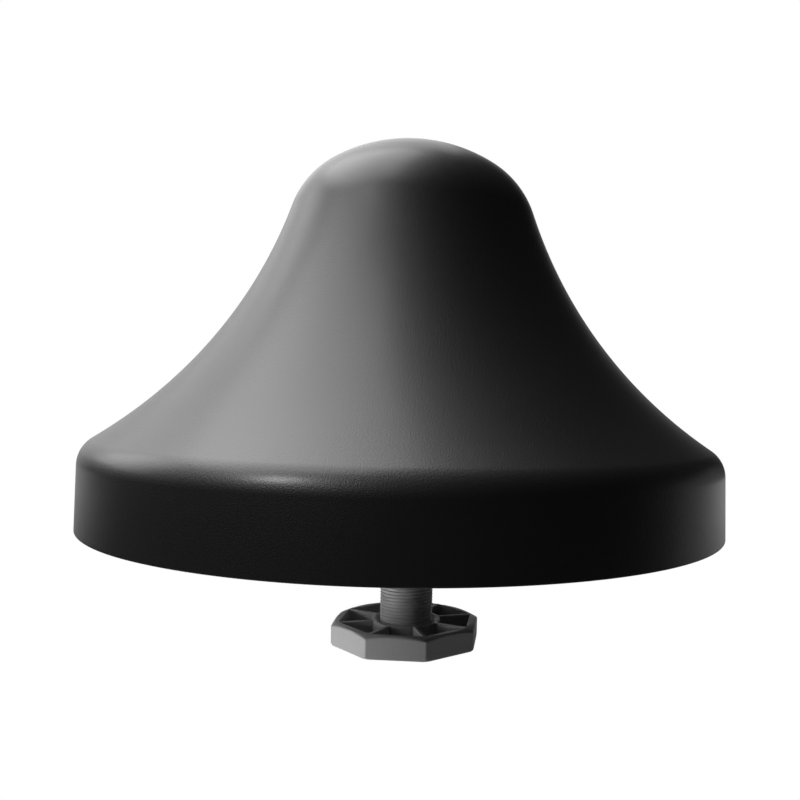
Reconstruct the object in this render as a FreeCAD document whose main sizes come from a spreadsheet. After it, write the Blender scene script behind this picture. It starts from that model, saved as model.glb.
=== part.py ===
"""Dome ceiling antenna: a bell radome on a base plate with a hollow threaded stud and its hand nut.

Millimetres, +Z up into the dome. The origin is the centre of the ceiling face, where the rim and
the base plate lie against the ceiling board; the stud points down, along -Z.
"""
import FreeCAD, Part
import math
import os
import re

import Sketcher

V = FreeCAD.Vector
Z = V(0, 0, 1)

# Driving sizes, in millimetres and degrees. Text that starts with = is worked out from others.
SIZES = {
    # bell of the radome, outside
    "rim_radius": "93",
    "bell_height": "110",
    "band_height": "17.6",
    "band_draft": "3.2",
    "shoulder_radius": "8.4",
    "neck_radius": "35",
    "neck_slope": "69.8",
    "crown_rise": "19.8",
    "crown_turn": "31.3",
    "skin": "2.5",
    # crown and side arcs: what each runs outwards and falls for every millimetre of its radius
    "neck_height": "=bell_height - crown_rise",
    "crown_run": "=sin(crown_turn * 1 deg)",
    "crown_fall": "=1 - cos(crown_turn * 1 deg)",
    "side_run": "=sin(neck_slope * 1 deg) - sin(crown_turn * 1 deg)",
    "side_fall": "=cos(crown_turn * 1 deg) - cos(neck_slope * 1 deg)",
    "arc_share": "=crown_run * side_fall - side_run * crown_fall",
    "crown_radius": "=(neck_radius * side_fall - crown_rise * side_run) / arc_share",
    "side_radius": "=(crown_rise * crown_run - neck_radius * crown_fall) / arc_share",
    # shoulder and flare arcs: the centre of each, and the flare's radius that touches both ends
    "shoulder_x": "=rim_radius - band_height * tan(band_draft * 1 deg)"
    " - shoulder_radius * cos(band_draft * 1 deg)",
    "shoulder_z": "=band_height - shoulder_radius * sin(band_draft * 1 deg)",
    "flare_radius": "=((neck_radius - shoulder_x) ^ 2 + (neck_height - shoulder_z) ^ 2"
    " - shoulder_radius ^ 2) / (2 * (shoulder_radius"
    " - (neck_radius - shoulder_x) * sin(neck_slope * 1 deg)"
    " - (neck_height - shoulder_z) * cos(neck_slope * 1 deg)))",
    "flare_x": "=neck_radius + flare_radius * sin(neck_slope * 1 deg)",
    "flare_z": "=neck_height + flare_radius * cos(neck_slope * 1 deg)",
    # fits and small fasteners
    "slack": "0.05",
    "edge_break": "0.4",
    "screw_radius": "1.5",
    "screw_play": "0.2",
    "screw_hole": "=screw_radius + screw_play",
    "pilot_radius": "=screw_radius + slack",
    "pilot_spare": "1",
    "head_radius": "2.8",
    "head_height": "1.6",
    "recess_depth": "0.9",
    "recess_reach": "1.7",
    "recess_width": "0.7",
    "point_length": "1.2",
    "rivet_radius": "1.6",
    "rivet_head": "3",
    "rivet_crown": "1",
    "rivet_bulge": "2.3",
    # base plate
    "plate": "3",
    "base_gap": "0.6",
    "base_radius": "=rim_radius - skin / cos(band_draft * 1 deg) - base_gap",
    "seat": "8",
    "lip_step": "1.2",
    "lip_width": "1.8",
    "lip_top": "7.5",
    "rib_gap": "0.4",
    "rib_width": "1.6",
    "rib_count": "8",
    "rib_top": "=seat - head_height - rib_gap",
    "lip_outer": "=base_radius - lip_step",
    "lip_inner": "=lip_outer - lip_width",
    # screws of the radome
    "boss_inset": "13",
    "boss_radius": "4",
    "boss_count": "4",
    "boss_pilot": "12",
    "web_gap": "0.5",
    "pad_radius": "5.6",
    "pad_top": "5",
    "sink_play": "0.6",
    "sink_depth": "2",
    "radome_screw_length": "12",
    "boss_circle": "=rim_radius - boss_inset",
    "sink_radius": "=head_radius + sink_play",
    # ground plate and its posts
    "ground_gap": "4",
    "ground_sheet": "1.5",
    "ground_lip": "4",
    "post_inset": "12",
    "post_radius": "4.2",
    "post_angle": "45",
    "post_screw_length": "5",
    "ground_radius": "=boss_circle - boss_radius - ground_gap",
    "post_circle": "=ground_radius - post_inset",
    "ground_top": "=seat + ground_sheet",
    # octagonal nut
    "nut_flats": "43",
    "nut_height": "7",
    "nut_drop": "30.8",
    "nut_turn": "15",
    "nut_wall": "2.3",
    "nut_floor": "3.2",
    "nut_rib": "1.1",
    "nut_hub_wall": "2.5",
    "nut_gap": "0.06",
    "nut_crown_inset": "0.5",
    "nut_crown_slope": "25",
    "nut_foot_reach": "1.2",
    "nut_bore_chamfer": "1.5",
    "nut_top": "=-nut_drop",
    "nut_bottom": "=-nut_drop - nut_height",
    "nut_corner": "=nut_flats / 2 / cos(22.5 deg)",
    "nut_crown_radius": "=nut_flats / 2 - nut_crown_inset",
    "nut_foot_radius": "=nut_flats / 2 + nut_foot_reach",
    "pocket_flat": "=nut_flats / 2 - nut_wall",
    # hollow stud with its keyed flange
    "stud_radius": "8",
    "stud_bore": "5",
    "stud_end": "2.2",
    "collar_step": "0.5",
    "collar_length": "3",
    "shank_step": "0.5",
    "shank_gap": "0.1",
    "flange_flats": "30",
    "flange_gap": "0.15",
    "flange_thickness": "4",
    "stud_chamfer": "0.8",
    "hub_wall": "4.5",
    "nut_hub": "=stud_radius + nut_hub_wall",
    "stud_length": "=nut_drop + nut_height + stud_end",
    "collar_radius": "=stud_radius + collar_step",
    "shank_radius": "=collar_radius + shank_step",
    "flange_floor": "=seat - flange_thickness",
    "key_corner": "=(flange_flats / 2 + flange_gap) / cos(30 deg)",
    "hub_radius": "=key_corner + hub_wall",
    # coaxial feed
    "bush_neck": "3",
    "bush_bore": "1.8",
    "bush_flange": "6.5",
    "bush_height": "2",
    "insulator_head": "4.5",
    "insulator_height": "3",
    "pin_radius": "1",
    "pin_end": "2.9",
    "feed_nut_flats": "5.5",
    "feed_nut_height": "2.4",
    "bush_top": "=ground_top + bush_height",
    "apex": "=bush_top + insulator_height",
    "apex_floor": "=apex + cone_sheet",
    "pin_top": "=apex_floor + feed_nut_height + pin_end",
    # radiator, hung below the neck of the bell with room for its straps inside the skin
    "cone_sheet": "1.2",
    "cap_sheet": "1",
    "strap_sheet": "1",
    "strap_bend": "1.2",
    "strap_room": "1.5",
    "neck_drop": "18.2",
    "flange_width": "7",
    "apex_radius": "6",
    "cap_inset": "9",
    "cap_rise": "12",
    "cone_top": "=neck_height - neck_drop",
    "flange_top": "=cone_top + cone_sheet",
    "cap_top": "=flange_top + cap_sheet",
    "strap_top": "=cap_top + strap_sheet",
    "strap_outer": "=flare_x - sqrt((flare_radius + skin) ^ 2 - (strap_top - flare_z) ^ 2) - strap_room",
    "strap_inner": "=strap_outer - strap_sheet",
    "flange_radius": "=strap_inner - strap_bend - slack",
    "cone_radius": "=flange_radius - flange_width",
    "stay_circle": "=flange_radius - flange_width / 2",
    "cap_radius": "=flange_radius - cap_inset",
    "cap_curve": "=(cap_radius ^ 2 + cap_rise ^ 2) / (2 * cap_rise)",
    "cap_centre": "=cap_top + cap_rise - cap_curve",
    "cone_run": "=cone_radius - apex_radius",
    "cone_lift": "=cone_top - apex",
    "cone_skew": "=cone_sheet * (sqrt(cone_run ^ 2 + cone_lift ^ 2) - cone_run) / cone_lift",
    # standoffs and straps between ground plate and radiator
    "standoff_flats": "5.6",
    "standoff_angle": "90",
    "standoff_pilot": "8",
    "standoff_screw_length": "7",
    "strap_angle": "30",
    "strap_width": "8",
    "strap_margin": "0.5",
    "foot_reach": "5.7",
    "foot_margin": "4.5",
    "foot_circle": "=strap_outer + foot_reach",
    "foot_top": "=ground_top + strap_sheet",
}

doc = FreeCAD.newDocument("ceiling_antenna")


def write_sizes():
    """Put each size in its own row of the sheet, under its name."""
    sheet = doc.addObject("Spreadsheet::Sheet", "sizes")
    for row, (name, text) in enumerate(SIZES.items(), start=1):
        sheet.set(f"A{row}", name)
        sheet.set(f"B{row}", text)
        sheet.setAlias(f"B{row}", name)
    doc.recompute()
    return sheet


sheet = write_sizes()


def named(expression):
    """The expression with every size in it read from the sheet."""
    return re.sub(
        r"[a-z]\w*",
        lambda word: "sizes." + word[0] if word[0] in SIZES else word[0],
        expression,
    )


def number(expression):
    """What an expression comes to now, as a plain number."""
    value = sheet.evalExpression(expression)
    return float(getattr(value, "Value", value))


def polar(radius, degrees):
    """The x and y expressions of a point on a circle round the axis."""
    return f"{radius} * cos({degrees} * 1 deg)", f"{radius} * sin({degrees} * 1 deg)"


def beside(reach, degrees, half_width, side):
    """A point at reach along a ray from the axis, half_width to the ray's left (+) or right (-)."""
    along, across = polar(reach, degrees)
    other = "-" if side == "+" else "+"
    return (
        f"{along} {other} {half_width} * sin({degrees} * 1 deg)",
        f"{across} {side} {half_width} * cos({degrees} * 1 deg)",
    )


def new_body(label):
    """An empty body that may hold several like solids."""
    body = doc.addObject("PartDesign::Body", label)
    body.Label = label
    body.AllowCompound = True
    return body


def origin_of(body, role):
    """One of the body's own origin planes or axes."""
    return next(item for item in body.Origin.OriginFeatures if item.Role == role)


def new_sketch(body, name, role="XY_Plane", height="0"):
    """A sketch on an origin plane of the body, lifted by height along the plane's normal."""
    sketch = body.newObject("Sketcher::SketchObject", f"{body.Name}_{name}")
    sketch.AttachmentSupport = (origin_of(body, role), [""])
    sketch.MapMode = "FlatFace"
    if height != "0":
        sketch.setExpression(".AttachmentOffset.Base.z", named(height))
    return sketch


def bind(sketch, constraint, expression):
    """Add a constraint with a value and tie that value to the sheet."""
    index = sketch.addConstraint(constraint)
    sketch.setExpression(f"Constraints[{index}]", named(expression))


def hold(sketch, geometry, point, x, y):
    """Hold one point of a sketch at two expressions."""
    for kind, text in (("DistanceX", x), ("DistanceY", y)):
        value = number(text)
        bind(sketch, Sketcher.Constraint(kind, -1, 1, geometry, point, value), text)


def arc_between(start, end, radius):
    """The short arc from start to end; a positive radius bends to the left of the way there."""
    chord = end - start
    middle = (start + end) / 2
    left = V(-chord.y, chord.x, 0).normalize()
    height = math.sqrt(radius ** 2 - (chord.Length / 2) ** 2)
    centre = middle + left * height * math.copysign(1, radius)
    first, last = (start, end) if radius > 0 else (end, start)
    angles = [math.atan2(point.y - centre.y, point.x - centre.x) for point in (first, last)]
    return Part.ArcOfCircle(Part.Circle(centre, Z, abs(radius)), *angles)


def outline(sketch, corners):
    """Draw a closed outline through corners held at x and y expressions.

    A corner's third entry is the radius of the arc from it to the next corner, with a minus sign
    where that arc bends to the right.
    """
    points = [V(number(corner[0]), number(corner[1]), 0) for corner in corners]
    ends = []
    for index, corner in enumerate(corners):
        start, end = points[index], points[(index + 1) % len(points)]
        if len(corner) == 2:
            ends.append((sketch.addGeometry(Part.LineSegment(start, end)), 1, 2))
            continue
        radius = number(corner[2])
        arc = sketch.addGeometry(arc_between(start, end, radius))
        ends.append((arc, 1, 2) if radius > 0 else (arc, 2, 1))
    for index, corner in enumerate(corners):
        geometry, first, _ = ends[index]
        before, _, last = ends[index - 1]
        sketch.addConstraint(Sketcher.Constraint("Coincident", before, last, geometry, first))
        hold(sketch, geometry, first, corner[0], corner[1])
        if len(corner) == 3:
            text = corner[2].lstrip("-")
            bind(sketch, Sketcher.Constraint("Radius", geometry, number(text)), text)


def circle(sketch, x, y, radius):
    """A circle held at x and y."""
    centre = V(number(x), number(y), 0)
    geometry = sketch.addGeometry(Part.Circle(centre, Z, number(radius)))
    hold(sketch, geometry, 3, x, y)
    bind(sketch, Sketcher.Constraint("Radius", geometry, number(radius)), radius)


def polygon(sketch, sides, corner_radius, turn, x="0", y="0"):
    """A regular polygon round x and y, with its first corner at the angle turn."""
    corners = []
    for index in range(sides):
        along, across = polar(corner_radius, f"({turn} + {360 * index / sides})")
        corners.append((f"{x} + {along}", f"{y} + {across}"))
    outline(sketch, corners)


def feature(body, kind, sketch, name, **settings):
    """A feature made from a sketch; a setting that is text in SIZES terms is bound to the sheet."""
    item = body.newObject(f"PartDesign::{kind}", f"{body.Name}_{name}")
    item.Profile = sketch
    for key, value in settings.items():
        if key == "Length":
            item.setExpression(key, named(value))
        else:
            setattr(item, key, value)
    sketch.Visibility = False
    doc.recompute()
    return item


def pad(body, sketch, name, length, **settings):
    return feature(body, "Pad", sketch, name, Length=length, **settings)


def pocket(body, sketch, name, length, **settings):
    return feature(body, "Pocket", sketch, name, Length=length, **settings)


def turned(body, sketch, name, kind="Revolution", axis="V_Axis"):
    """A full turn of a profile about an axis of its sketch."""
    return feature(body, kind, sketch, name, ReferenceAxis=(sketch, [axis]), Angle=360)


def around(body, name, originals, count):
    """Repeat features round the axis of the antenna."""
    pattern = body.newObject("PartDesign::PolarPattern", f"{body.Name}_{name}")
    pattern.Originals = originals
    pattern.Axis = (origin_of(body, "Z_Axis"), [""])
    pattern.Angle = 360
    pattern.setExpression("Occurrences", named(count))
    body.Tip = pattern
    doc.recompute()
    return pattern


def edges_on_circle(shape, radius, height):
    """Names of the full round edges about the Z axis with this radius and height."""
    found = []
    for index, edge in enumerate(shape.Edges, start=1):
        curve = edge.Curve
        if not isinstance(curve, Part.Circle) or abs(curve.Radius - radius) > 1e-4:
            continue
        if abs(curve.Center.z - height) < 1e-4 and math.hypot(curve.Center.x, curve.Center.y) < 1e-4:
            found.append(f"Edge{index}")
    return found


def chamfer(body, name, base, size, circles):
    """A chamfer on the round edges given as (radius, height) expressions."""
    names = []
    for radius, height in circles:
        names += edges_on_circle(base.Shape, number(radius), number(height))
    item = body.newObject("PartDesign::Chamfer", f"{body.Name}_{name}")
    item.Base = (base, names)
    item.setExpression("Size", named(size))
    doc.recompute()
    return item


def turn_body(body, degrees):
    """Turn a finished body about the Z axis."""
    body.Placement = FreeCAD.Placement(V(), FreeCAD.Rotation(Z, 0))
    body.setExpression(".Placement.Rotation.Angle", named(f"({degrees}) * 1 deg"))


# Bell of the radome

def bell_chain(inset):
    """Corners from apex to rim of the bell's section, inset by a wall: arcs about fixed centres."""
    crown, side = f"(crown_radius - {inset})", f"(side_radius - {inset})"
    flare, shoulder = f"(flare_radius + {inset})", f"(shoulder_radius - {inset})"
    flare_to_shoulder = "(flare_radius + shoulder_radius)"
    foot = f"rim_radius - {inset} / cos(band_draft * 1 deg)"
    return [
        ("0", f"bell_height - {inset}", f"-{crown}"),
        (
            f"{crown} * sin(crown_turn * 1 deg)",
            f"bell_height - crown_radius + {crown} * cos(crown_turn * 1 deg)",
            f"-{side}",
        ),
        (
            f"neck_radius - {inset} * sin(neck_slope * 1 deg)",
            f"neck_height - {inset} * cos(neck_slope * 1 deg)",
            flare,
        ),
        (
            f"shoulder_x + {shoulder} * (flare_x - shoulder_x) / {flare_to_shoulder}",
            f"shoulder_z + {shoulder} * (flare_z - shoulder_z) / {flare_to_shoulder}",
            f"-{shoulder}",
        ),
        (
            f"shoulder_x + {shoulder} * cos(band_draft * 1 deg)",
            f"shoulder_z + {shoulder} * sin(band_draft * 1 deg)",
        ),
        (foot, "0"),
    ]


def backwards(chain):
    """The same corners the other way round, with each arc's bend turned over."""
    flipped = []
    for index in range(len(chain) - 1, -1, -1):
        corner = chain[index][:2]
        before = chain[index - 1] if index else ()
        if len(before) == 3:
            bend = before[2]
            corner += (bend.lstrip("-") if bend.startswith("-") else f"-{bend}",)
        flipped.append(corner)
    return flipped


def make_radome():
    """Thin bell with four screw bosses moulded into its flare, each tied to the rim by a web."""
    body = new_body("radome")
    section = new_sketch(body, "section", "XZ_Plane")
    outline(section, bell_chain("0") + backwards(bell_chain("skin")))
    turned(body, section, "bell")
    boss_plan = new_sketch(body, "boss_plan", height="pad_top")
    circle(boss_plan, "boss_circle", "0", "boss_radius")
    boss = feature(body, "Pad", boss_plan, "boss", Type="UpToFirst")
    web_plan = new_sketch(body, "web_plan", height="lip_top + web_gap")
    near, far = "boss_circle + boss_radius / 2", "rim_radius - skin"
    outline(web_plan, [
        (near, "-rib_width / 2"), (far, "-rib_width / 2"), (far, "rib_width / 2"), (near, "rib_width / 2"),
    ])
    web = pad(body, web_plan, "web", "band_height - lip_top - 2 * web_gap")
    pilot_plan = new_sketch(body, "pilot_plan", height="pad_top")
    circle(pilot_plan, "boss_circle", "0", "pilot_radius")
    pilot = pocket(body, pilot_plan, "pilot", "boss_pilot", Reversed=True)
    around(body, "bosses", [boss, web, pilot], "boss_count")
    return body


# Base plate

def make_base_plate():
    """Moulded plate with a hub for the stud, a lip inside the rim, ribs, posts and sunk screw holes."""
    body = new_body("base_plate")
    section = new_sketch(body, "section", "XZ_Plane")
    hole = "shank_radius + shank_gap"
    ring_in, ring_out = "post_circle - rib_width / 2", "post_circle + rib_width / 2"
    outline(section, [
        (hole, "0"), ("base_radius - edge_break", "0"), ("base_radius", "edge_break"),
        ("base_radius", "plate"), ("lip_outer", "plate"), ("lip_outer", "lip_top"),
        ("lip_inner", "lip_top"), ("lip_inner", "plate"), (ring_out, "plate"), (ring_out, "rib_top"),
        (ring_in, "rib_top"), (ring_in, "plate"), ("hub_radius", "plate"), ("hub_radius", "seat"),
        (hole, "seat"),
    ])
    turned(body, section, "disc")
    rib_plan = new_sketch(body, "rib_plan", height="plate")
    near, far = "(hub_radius - edge_break)", "(lip_inner + edge_break)"
    outline(rib_plan, [
        beside(reach, "180 / rib_count", "rib_width / 2", side)
        for reach, side in ((near, "-"), (far, "-"), (far, "+"), (near, "+"))
    ])
    rib = pad(body, rib_plan, "rib", "rib_top - plate")
    around(body, "ribs", [rib], "rib_count")
    pad_plan = new_sketch(body, "pad_plan", height="plate")
    circle(pad_plan, "boss_circle", "0", "pad_radius")
    screw_pad = pad(body, pad_plan, "screw_pad", "pad_top - plate")
    post_plan = new_sketch(body, "post_plan", height="plate")
    circle(post_plan, *polar("post_circle", "post_angle"), "post_radius")
    post = pad(body, post_plan, "post", "seat - plate")
    through_plan = new_sketch(body, "through_plan")
    circle(through_plan, "boss_circle", "0", "screw_hole")
    through = pocket(body, through_plan, "through", "pad_top", Reversed=True)
    sink_plan = new_sketch(body, "sink_plan")
    circle(sink_plan, "boss_circle", "0", "sink_radius")
    sink = pocket(body, sink_plan, "sink", "sink_depth", Reversed=True)
    pilot_plan = new_sketch(body, "pilot_plan", height="seat")
    circle(pilot_plan, *polar("post_circle", "post_angle"), "pilot_radius")
    pilot = pocket(body, pilot_plan, "pilot", "post_screw_length + pilot_spare")
    around(body, "fixings", [screw_pad, post, through, sink, pilot], "boss_count")
    key_plan = new_sketch(body, "key_plan", height="seat")
    polygon(key_plan, 6, "key_corner", "0")
    pocket(body, key_plan, "key", "seat - flange_floor")
    return body


# Stud and nut

def make_stud():
    """Hollow stud: a hexagonal flange keyed in the base plate, a short collar and the threaded length."""
    body = new_body("stud")
    section = new_sketch(body, "section", "XZ_Plane")
    outline(section, [
        ("0", "-stud_length"), ("stud_radius - stud_chamfer", "-stud_length"),
        ("stud_radius", "-stud_length + stud_chamfer"), ("stud_radius", "-collar_length"),
        ("collar_radius", "-collar_length"), ("collar_radius", "0"), ("shank_radius", "0"),
        ("shank_radius", "seat"), ("0", "seat"),
    ])
    turned(body, section, "shank")
    flange_plan = new_sketch(body, "flange_plan", height="flange_floor")
    polygon(flange_plan, 6, "(flange_flats / 2 / cos(30 deg))", "0")
    pad(body, flange_plan, "flange", "seat - flange_floor")
    bore_plan = new_sketch(body, "bore_plan", height="seat")
    circle(bore_plan, "0", "0", "stud_bore")
    bore = pocket(body, bore_plan, "bore", "seat + stud_length")
    chamfer(body, "mouths", bore, "edge_break", [("stud_bore", "seat"), ("stud_bore", "-stud_length")])
    return body


def make_nut():
    """Octagonal hand nut: crowned top, eight open pockets between thin ribs, and a hub on the thread."""
    body = new_body("nut")
    plan = new_sketch(body, "plan", height="nut_bottom")
    polygon(plan, 8, "nut_corner", "nut_turn")
    pad(body, plan, "block", "nut_height")
    beyond = "(nut_corner + edge_break)"
    crown = new_sketch(body, "crown", "XZ_Plane")
    outline(crown, [
        ("nut_crown_radius", "nut_top"),
        (beyond, f"nut_top - ({beyond} - nut_crown_radius) * tan(nut_crown_slope * 1 deg)"),
        (beyond, "nut_top"),
    ])
    turned(body, crown, "crowned_top", "Groove")
    foot = new_sketch(body, "foot", "XZ_Plane")
    outline(foot, [
        ("nut_foot_radius", "nut_bottom"), (beyond, "nut_bottom"),
        (beyond, f"nut_bottom + {beyond} - nut_foot_radius"),
    ])
    turned(body, foot, "broken_foot", "Groove")
    cell_plan = new_sketch(body, "cell_plan", height="nut_top")
    hub_reach = "sqrt(nut_hub ^ 2 - (nut_rib / 2) ^ 2)"
    wall_reach = "(pocket_flat / cos(22.5 deg) - nut_rib / 2 * tan(22.5 deg))"
    low_rib, high_rib = "nut_turn", "(nut_turn + 45)"
    outline(cell_plan, [
        beside(hub_reach, low_rib, "nut_rib / 2", "+"),
        beside(wall_reach, low_rib, "nut_rib / 2", "+"),
        beside(wall_reach, high_rib, "nut_rib / 2", "-"),
        beside(hub_reach, high_rib, "nut_rib / 2", "-") + ("-nut_hub",),
    ])
    cell = pocket(body, cell_plan, "cell", "nut_height - nut_floor")
    around(body, "cells", [cell], "8")
    bore_plan = new_sketch(body, "bore_plan", height="nut_top")
    circle(bore_plan, "0", "0", "stud_radius + nut_gap")
    bore = pocket(body, bore_plan, "bore", "nut_height")
    chamfer(body, "mouths", bore, "nut_bore_chamfer",
            [("stud_radius + nut_gap", "nut_top"), ("stud_radius + nut_gap", "nut_bottom")])
    return body


# Ground plate and coaxial feed

def make_ground_plate():
    """Aluminium disc with a turned-up edge and the holes of everything that stands on it."""
    body = new_body("ground_plate")
    section = new_sketch(body, "section", "XZ_Plane")
    inner_edge = "ground_radius - ground_sheet"
    outline(section, [
        ("bush_neck + slack", "seat"), ("ground_radius", "seat"), ("ground_radius", "seat + ground_lip"),
        (inner_edge, "seat + ground_lip"), (inner_edge, "ground_top"), ("bush_neck + slack", "ground_top"),
    ])
    turned(body, section, "disc")
    for name, place, radius, count in (
        ("post_hole", polar("post_circle", "post_angle"), "screw_hole", "boss_count"),
        ("standoff_hole", polar("stay_circle", "standoff_angle"), "screw_hole", "3"),
        ("foot_hole", polar("foot_circle", "strap_angle"), "rivet_radius + slack", "3"),
    ):
        plan = new_sketch(body, f"{name}_plan", height="ground_top")
        circle(plan, *place, radius)
        around(body, f"{name}s", [pocket(body, plan, name, "ground_sheet")], count)
    return body


def make_turned_part(label, corners):
    """A part turned about the antenna's axis from its half section."""
    body = new_body(label)
    section = new_sketch(body, "section", "XZ_Plane")
    outline(section, corners)
    turned(body, section, "turned")
    return body


def make_feed():
    """Bush on the ground plate, insulator in the bush, and the pin that carries the cone's apex."""
    neck, bore = "bush_neck", "bush_bore"
    make_turned_part("feed_bush", [
        (bore, "seat"), (neck, "seat"), (neck, "ground_top"), ("bush_flange", "ground_top"),
        ("bush_flange", "bush_top - edge_break"), ("bush_flange - edge_break", "bush_top"),
        (bore, "bush_top"),
    ])
    stem, hole = "bush_bore - slack", "pin_radius + slack"
    make_turned_part("feed_insulator", [
        (hole, "seat"), (stem, "seat"), (stem, "bush_top"), ("insulator_head", "bush_top"),
        ("insulator_head", "apex"), (hole, "apex"),
    ])
    make_turned_part("feed_pin", [
        ("0", "seat"), ("pin_radius", "seat"), ("pin_radius", "pin_top - edge_break"),
        ("pin_radius - edge_break", "pin_top"), ("0", "pin_top"),
    ])
    body = new_body("feed_nut")
    plan = new_sketch(body, "plan", height="apex_floor")
    polygon(plan, 6, "(feed_nut_flats / 2 / cos(30 deg))", "0")
    circle(plan, "0", "0", hole)
    pad(body, plan, "hexagon", "feed_nut_height")


# Radiator

def make_radiator():
    """Spun cone with a flat flange, and the shallow dish that closes it."""
    hole = "pin_radius + slack"
    cone = make_turned_part("radiator_cone", [
        (hole, "apex"), ("apex_radius", "apex"), ("cone_radius", "cone_top"),
        ("flange_radius", "cone_top"), ("flange_radius", "flange_top"),
        ("cone_radius - cone_skew", "flange_top"), ("apex_radius - cone_skew", "apex_floor"),
        (hole, "apex_floor"),
    ])
    inner_curve = "(cap_curve - cap_sheet)"
    cap = make_turned_part("radiator_cap", [
        ("0", "cap_top + cap_rise", "-cap_curve"), ("cap_radius", "cap_top"),
        ("flange_radius", "cap_top"), ("flange_radius", "flange_top"),
        (f"sqrt({inner_curve} ^ 2 - (flange_top - cap_centre) ^ 2)", "flange_top", inner_curve),
        ("0", "cap_top + cap_rise - cap_sheet"),
    ])
    for body, top, depth in ((cone, "flange_top", "cone_sheet"), (cap, "cap_top", "cap_sheet")):
        for name, angle, radius in (
            ("standoff_hole", "standoff_angle", "screw_hole"),
            ("rivet_hole", "strap_angle", "rivet_radius + slack"),
        ):
            plan = new_sketch(body, f"{name}_plan", height=top)
            circle(plan, *polar("stay_circle", angle), radius)
            around(body, f"{name}s", [pocket(body, plan, name, depth)], "3")


def make_standoff(label, angle):
    """Hexagonal pillar with a blind pilot hole in each end."""
    body = new_body(label)
    plan = new_sketch(body, "plan", height="ground_top")
    polygon(plan, 6, "(standoff_flats / 2 / cos(30 deg))", "30", x="stay_circle")
    pad(body, plan, "pillar", "cone_top - ground_top")
    for name, height, upwards in (("lower_pilot", "ground_top", True), ("upper_pilot", "cone_top", False)):
        pilot_plan = new_sketch(body, f"{name}_plan", height=height)
        circle(pilot_plan, "stay_circle", "0", "pilot_radius")
        pocket(body, pilot_plan, name, "standoff_pilot", Reversed=upwards)
    turn_body(body, angle)


def make_strap(label, angle):
    """Strip bent over the radiator's flange at its top and outwards on the ground plate at its foot."""
    body = new_body(label)
    section = new_sketch(body, "section", "XZ_Plane")
    tight, wide = "strap_bend", "(strap_bend + strap_sheet)"
    heel, toe = f"strap_outer + {tight}", "foot_circle + foot_margin"
    inner_end = "stay_circle - rivet_head - strap_margin"
    outline(section, [
        (inner_end, "cap_top"),
        (f"strap_inner - {tight}", "cap_top", f"-{tight}"),
        ("strap_inner", f"cap_top - {tight}"),
        ("strap_inner", f"ground_top + {wide}", wide),
        (heel, "ground_top"),
        (toe, "ground_top"),
        (toe, "foot_top"),
        (heel, "foot_top", f"-{tight}"),
        ("strap_outer", f"foot_top + {tight}"),
        ("strap_outer", f"strap_top - {wide}", wide),
        (f"strap_inner - {tight}", "strap_top"),
        (inner_end, "strap_top"),
    ])
    feature(body, "Pad", section, "strip", Length="strap_width", SideType="Symmetric")
    for name, place, height in (
        ("top_hole", "stay_circle", "strap_top"), ("foot_hole", "foot_circle", "foot_top"),
    ):
        plan = new_sketch(body, f"{name}_plan", height=height)
        circle(plan, place, "0", "rivet_radius + slack")
        pocket(body, plan, name, "strap_sheet")
    turn_body(body, angle)


# Fasteners, each group one node of like solids

def turned_off_centre(body, section, name, ring, top):
    """A full turn of a profile about an upright line at ring, drawn from the origin plane to top."""
    axis = len(section.Geometry)
    start, end = V(number(ring), 0, 0), V(number(ring), number(top), 0)
    section.addGeometry(Part.LineSegment(start, end), True)
    hold(section, axis, 1, ring, "0")
    hold(section, axis, 2, ring, top)
    return turned(body, section, name, axis="Axis0")


def make_screws(label, ring, seat, up, length, count, angle="0"):
    """Cross-head screws on a circle, with their shanks up or down from the face they seat on."""
    body = new_body(label)
    section = new_sketch(body, "section", "XZ_Plane")
    on, back = ("+", "-") if up else ("-", "+")
    outline(section, [
        (ring, f"{seat} {back} head_height"),
        (f"{ring} + head_radius - edge_break", f"{seat} {back} head_height"),
        (f"{ring} + head_radius", f"{seat} {back} (head_height - edge_break)"),
        (f"{ring} + head_radius", seat),
        (f"{ring} + screw_radius", seat),
        (f"{ring} + screw_radius", f"{seat} {on} ({length} - point_length)"),
        (f"{ring} + screw_radius / 4", f"{seat} {on} {length}"),
        (ring, f"{seat} {on} {length}"),
    ])
    screw = turned_off_centre(body, section, "screw", ring, seat)
    recess_plan = new_sketch(body, "recess_plan", height=f"{seat} {back} head_height")
    reach, half = "recess_reach", "recess_width / 2"
    quarter = [(reach, f"-{half}"), (reach, half), (half, half)]
    corners = []
    for turn in range(4):
        for x, y in quarter:
            for _ in range(turn):
                x, y = f"-({y})", x
            corners.append((f"{ring} + {x}", y))
    outline(recess_plan, corners)
    recess = pocket(body, recess_plan, "recess", "recess_depth", Reversed=up)
    around(body, "screws", [screw, recess], count)
    turn_body(body, angle)


def make_rivets(label, ring, top, bottom, angle):
    """Three rivets with a round head on top of the joint and a flat bulge below it."""
    body = new_body(label)
    section = new_sketch(body, "section", "XZ_Plane")
    curve = "((rivet_head ^ 2 + rivet_crown ^ 2) / (2 * rivet_crown))"
    outline(section, [
        (ring, f"{top} + rivet_crown", f"-{curve}"),
        (f"{ring} + rivet_head", top),
        (f"{ring} + rivet_radius", top),
        (f"{ring} + rivet_radius", bottom),
        (f"{ring} + rivet_bulge", bottom),
        (f"{ring} + rivet_bulge", f"{bottom} - rivet_crown"),
        (ring, f"{bottom} - rivet_crown"),
    ])
    rivet = turned_off_centre(body, section, "rivet", ring, top)
    around(body, "rivets", [rivet], "3")
    turn_body(body, angle)


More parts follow.
